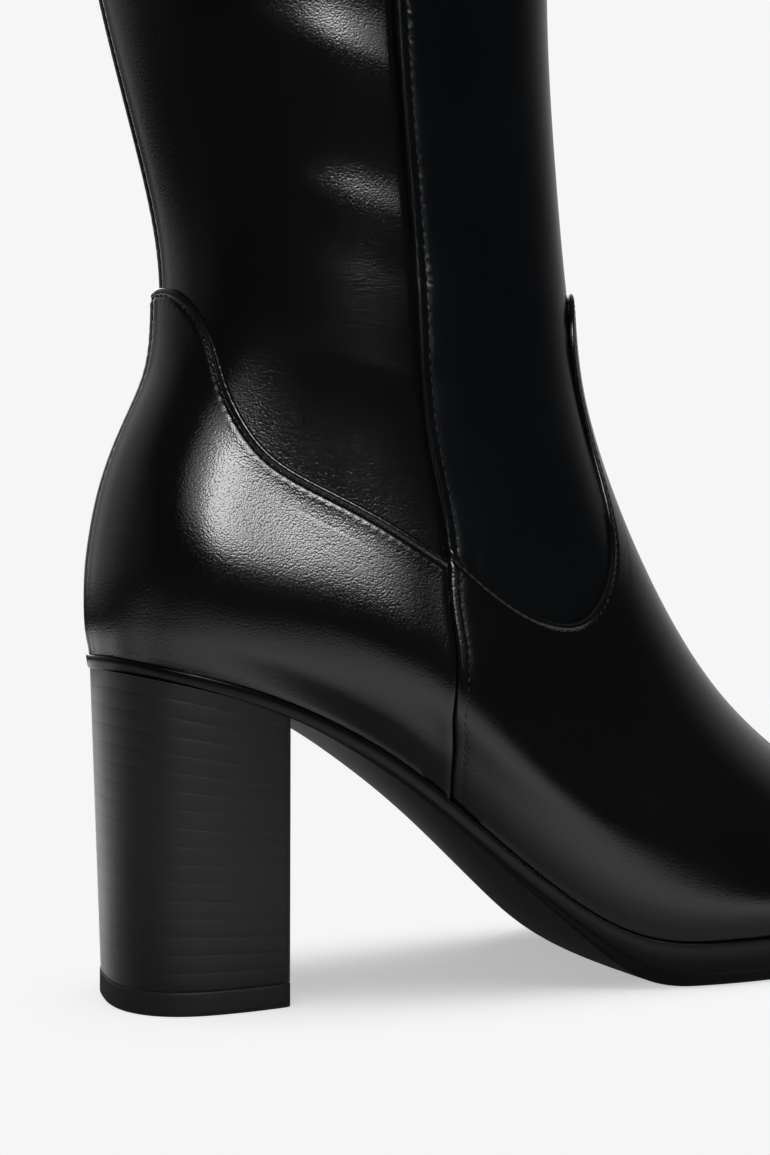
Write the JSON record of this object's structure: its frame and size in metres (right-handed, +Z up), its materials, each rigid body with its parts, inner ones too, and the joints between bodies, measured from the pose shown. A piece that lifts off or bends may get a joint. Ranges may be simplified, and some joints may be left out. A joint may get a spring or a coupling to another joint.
{
  "type": "knee-high block heel boot",
  "caption": "Right knee-high boot, black leather look: tall shaft with side seams, counter and vamp overlays rising to rounded tabs, thin arched sole, straight block heel.",
  "frame": {"origin": "centre of the heel's ground face, where the top piece stands on the floor", "axes": "+Z up the shaft, +X towards the toe, -Y the outer side of this right boot, +Y its inner side"},
  "size_m": [0.2531, 0.0956, 0.46],
  "materials": {
    "black_leather": "satin, fine pebble grain",
    "lining": "matte",
    "sole_rubber": "semi-gloss side wall",
    "heel_stack": "satin, faint stacked lines"
  },
  "bodies": {
    "root": {"top_piece": "sole_rubber", "heel_block": "heel_stack", "outsole": "sole_rubber", "insole": "lining", "upper": "black_leather", "counter": "black_leather", "vamp": "black_leather", "front_panel": "black_leather"}
  },
  "joints": []
}
